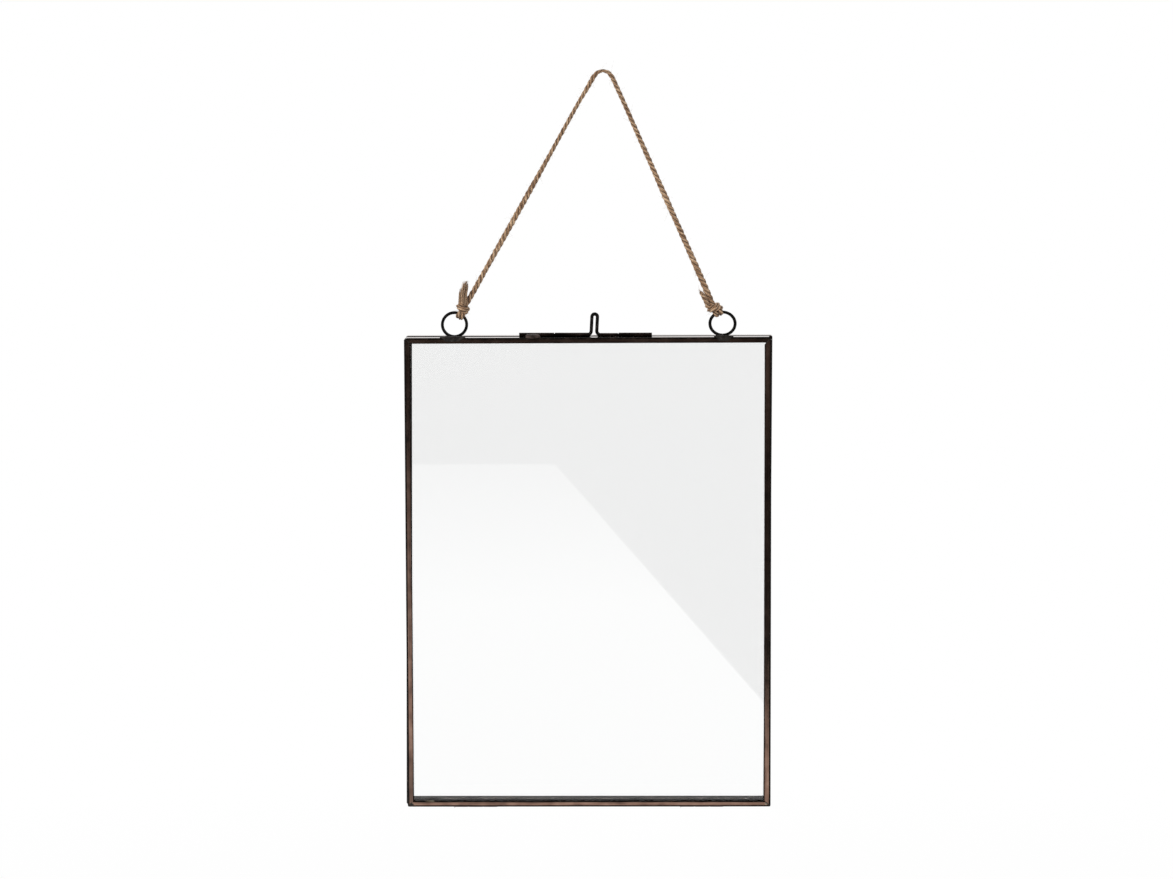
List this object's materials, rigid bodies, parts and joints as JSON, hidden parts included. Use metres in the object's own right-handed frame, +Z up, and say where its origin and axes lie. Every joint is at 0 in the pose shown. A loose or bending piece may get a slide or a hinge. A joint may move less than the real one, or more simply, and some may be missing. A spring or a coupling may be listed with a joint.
{
  "type": "double glass hanging frame",
  "caption": "Slim metal frame of two glazed leaves, hinged along the bottom and latched at the top by a sprung wire pin, hung from rings by a jute cord.",
  "frame": {"origin": "underside of the cord at its apex, where the frame hangs on a nail or hook, above the seam between the two leaves", "axes": "+X right as seen from the front, +Y to the back, +Z up"},
  "size_m": [0.154, 0.011, 0.3136],
  "materials": {
    "rail_metal": "dark antique copper patina, satin gloss",
    "hinge_metal": "dark antique copper patina, satin gloss",
    "latch_metal": "blackened copper patina",
    "pin_wire": "blackened spring wire",
    "ring_wire": "blackened wire",
    "solder": "dark tarnished solder, uneven",
    "glass": "clear float glass with ground edges",
    "jute": "twisted raw jute twine, hairy"
  },
  "bodies": {
    "cord": {"jute_cord": "jute", "left_knot": "jute", "right_knot": "jute", "left_tail": "jute", "right_tail": "jute"},
    "front_leaf": {"front_top_rail": "rail_metal", "front_bottom_rail": "rail_metal", "front_left_rail": "rail_metal", "front_right_rail": "rail_metal", "front_glass": "glass", "left_ring": "ring_wire", "right_ring": "ring_wire", "left_ring_pad": "solder", "right_ring_pad": "solder", "latch_tube_left_outer": "latch_metal", "latch_tube_right_outer": "latch_metal", "left_hinge_front_knuckle": "hinge_metal", "left_hinge_pin": "hinge_metal", "right_hinge_front_knuckle": "hinge_metal", "right_hinge_pin": "hinge_metal"},
    "back_leaf": {"back_top_rail": "rail_metal", "back_bottom_rail": "rail_metal", "back_left_rail": "rail_metal", "back_right_rail": "rail_metal", "back_glass": "glass", "latch_tube_left_inner": "latch_metal", "latch_tube_right_inner": "latch_metal", "spring_pin_bow": "pin_wire", "left_hinge_back_knuckle_left": "hinge_metal", "left_hinge_back_knuckle_right": "hinge_metal", "right_hinge_back_knuckle_left": "hinge_metal", "right_hinge_back_knuckle_right": "hinge_metal"},
    "pin_left": {"spring_pin_left_leg": "pin_wire"},
    "pin_right": {"spring_pin_right_leg": "pin_wire"}
  },
  "joints": [
    {"name": "frame_swing", "type": "hinge", "parent": "cord", "child": "front_leaf", "pos_m": [-0.0064, 0, -0.10073], "axis": [1, 0, 0], "range_deg": [-30, 30]},
    {"name": "leaf_open", "type": "hinge", "parent": "front_leaf", "child": "back_leaf", "pos_m": [-0.0064, 0, -0.31055], "axis": [-1, 0, 0], "range_deg": [0, 180]},
    {"name": "pin_left_squeeze", "type": "slide", "parent": "back_leaf", "child": "pin_left", "axis": [1, 0, 0], "range_m": [0, 0.0006], "stiffness_N_per_m": 5000},
    {"name": "pin_right_squeeze", "type": "slide", "parent": "back_leaf", "child": "pin_right", "axis": [-1, 0, 0], "range_m": [0, 0.0006]}
  ],
  "couplings": [
    {"joint": "pin_right_squeeze", "follows": "pin_left_squeeze", "ratio": 1}
  ]
}
